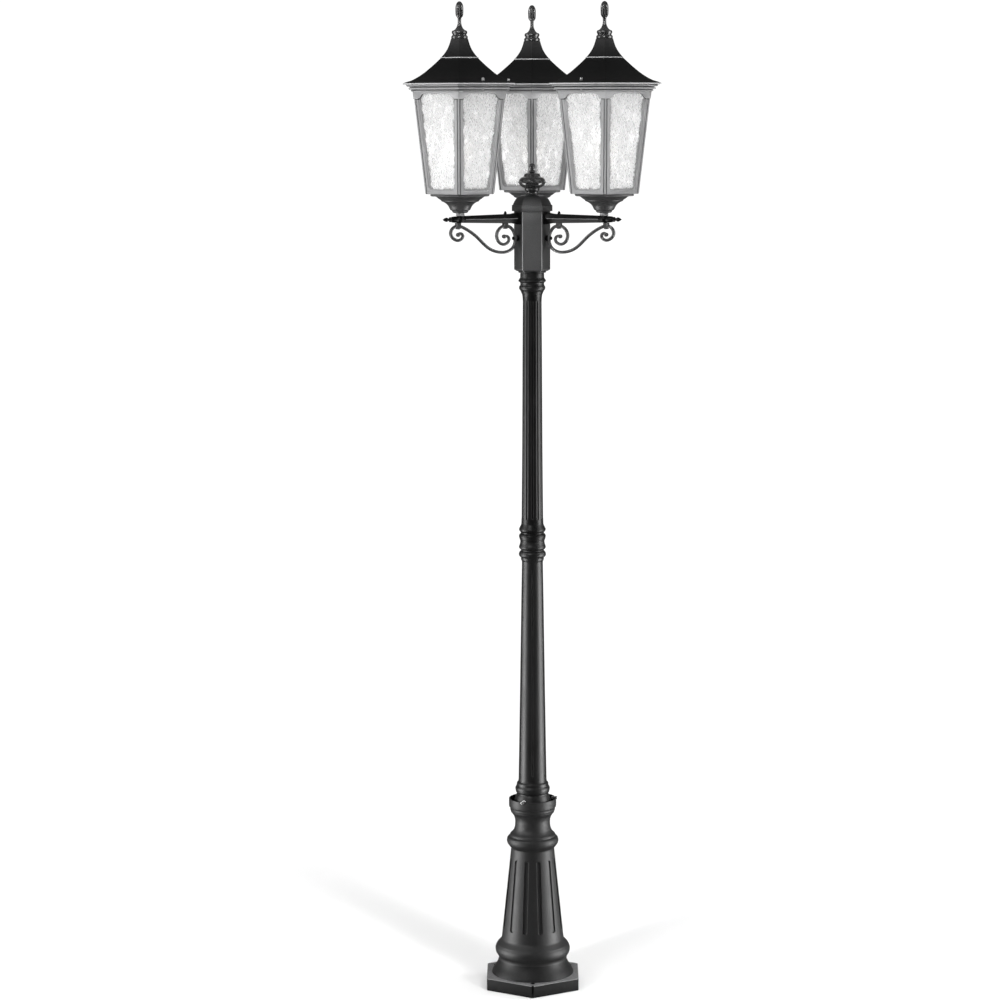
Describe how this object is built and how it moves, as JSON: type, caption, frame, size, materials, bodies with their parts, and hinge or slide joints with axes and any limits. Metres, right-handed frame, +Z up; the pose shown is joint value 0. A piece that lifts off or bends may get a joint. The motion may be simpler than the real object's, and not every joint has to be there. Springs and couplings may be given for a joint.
{
  "type": "triple head lamp post",
  "caption": "Tall garden lamp post with a fluted cast shaft on a hexagonal pedestal, scroll bracket arms and hexagonal lanterns with water-glass panes under lift-off pointed roofs.",
  "frame": {"origin": "on the post's axis at the underside of the hexagonal pedestal plate, where it stands on the ground", "axes": "+Z up along the post; +Y towards the rear lantern; -Y is the side that the picture is taken from, with the other two lanterns at 30 degrees in front of the X axis"},
  "size_m": [0.6018, 0.5968, 2.4],
  "materials": {
    "pedestal_coat": "cast, fine-textured satin black powder coat",
    "shaft_coat": "satin black powder coat",
    "hub_coat": "satin black powder coat",
    "arm_coat": "satin black powder coat",
    "scroll_coat": "satin powder coat",
    "lantern_coat": "satin powder coat",
    "roof_coat": "satin black powder coat",
    "bright_steel": "bright stainless",
    "plated_steel": "zinc plated",
    "hammered_glass": "clear rippled water glass",
    "bulb_glass": "frosted",
    "holder_ceramic": "glazed",
    "terminal_plastic": "moulded"
  },
  "bodies": {
    "post": {"arm_bolts": "bright_steel", "arm_left": "arm_coat", "arm_rear": "arm_coat", "arm_right": "arm_coat", "base_pedestal": "pedestal_coat", "base_set_screws": "bright_steel", "cap_bridge_rod": "plated_steel", "glass_panes_left": "hammered_glass", "glass_panes_rear": "hammered_glass", "glass_panes_right": "hammered_glass", "hub_box": "hub_coat", "hub_lock_nut": "plated_steel", "hub_seat_washer": "shaft_coat", "hub_tube_nipple": "plated_steel", "lampholder_left": "holder_ceramic", "lampholder_rear": "holder_ceramic", "lampholder_right": "holder_ceramic", "lantern_cup_left": "lantern_coat", "lantern_cup_rear": "lantern_coat", "lantern_cup_right": "lantern_coat", "lantern_frame_left": "lantern_coat", "lantern_frame_rear": "lantern_coat", "lantern_frame_right": "lantern_coat", "lantern_tube_nuts": "plated_steel", "lantern_tubes": "plated_steel", "lower_shaft": "shaft_coat", "pane_retainer_left": "plated_steel", "pane_retainer_rear": "plated_steel", "pane_retainer_right": "plated_steel", "scroll_clips": "scroll_coat", "scroll_left": "scroll_coat", "scroll_rear": "scroll_coat", "scroll_right": "scroll_coat", "scroll_screws": "bright_steel", "shaft_capital": "shaft_coat", "shaft_coupling": "plated_steel", "terminal_block": "terminal_plastic", "upper_shaft": "shaft_coat"},
    "roof_left": {"lantern_roof_left": "roof_coat", "roof_finial_left": "roof_coat", "roof_screws_left": "bright_steel"},
    "roof_right": {"lantern_roof_right": "roof_coat", "roof_finial_right": "roof_coat", "roof_screws_right": "bright_steel"},
    "roof_rear": {"lantern_roof_rear": "roof_coat", "roof_finial_rear": "roof_coat", "roof_screws_rear": "bright_steel"},
    "lamp_left": {"bulb_left": "bulb_glass"},
    "lamp_right": {"bulb_right": "bulb_glass"},
    "lamp_rear": {"bulb_rear": "bulb_glass"},
    "cap": {"hub_cap": "hub_coat", "hub_finial": "hub_coat"}
  },
  "joints": [
    {"name": "roof_left_lift", "type": "slide", "parent": "post", "child": "roof_left", "axis": [0, 0, 1], "range_m": [0, 0.16]},
    {"name": "roof_right_lift", "type": "slide", "parent": "post", "child": "roof_right", "axis": [0, 0, 1], "range_m": [0, 0.16]},
    {"name": "roof_rear_lift", "type": "slide", "parent": "post", "child": "roof_rear", "axis": [0, 0, 1], "range_m": [0, 0.16]},
    {"name": "lamp_left_unscrew", "type": "slide", "parent": "post", "child": "lamp_left", "axis": [0, 0, 1], "range_m": [0, 0.026]},
    {"name": "lamp_right_unscrew", "type": "slide", "parent": "post", "child": "lamp_right", "axis": [0, 0, 1], "range_m": [0, 0.026]},
    {"name": "lamp_rear_unscrew", "type": "slide", "parent": "post", "child": "lamp_rear", "axis": [0, 0, 1], "range_m": [0, 0.026]},
    {"name": "cap_lift", "type": "slide", "parent": "post", "child": "cap", "axis": [0, 0, 1], "range_m": [0, 0.06]}
  ]
}
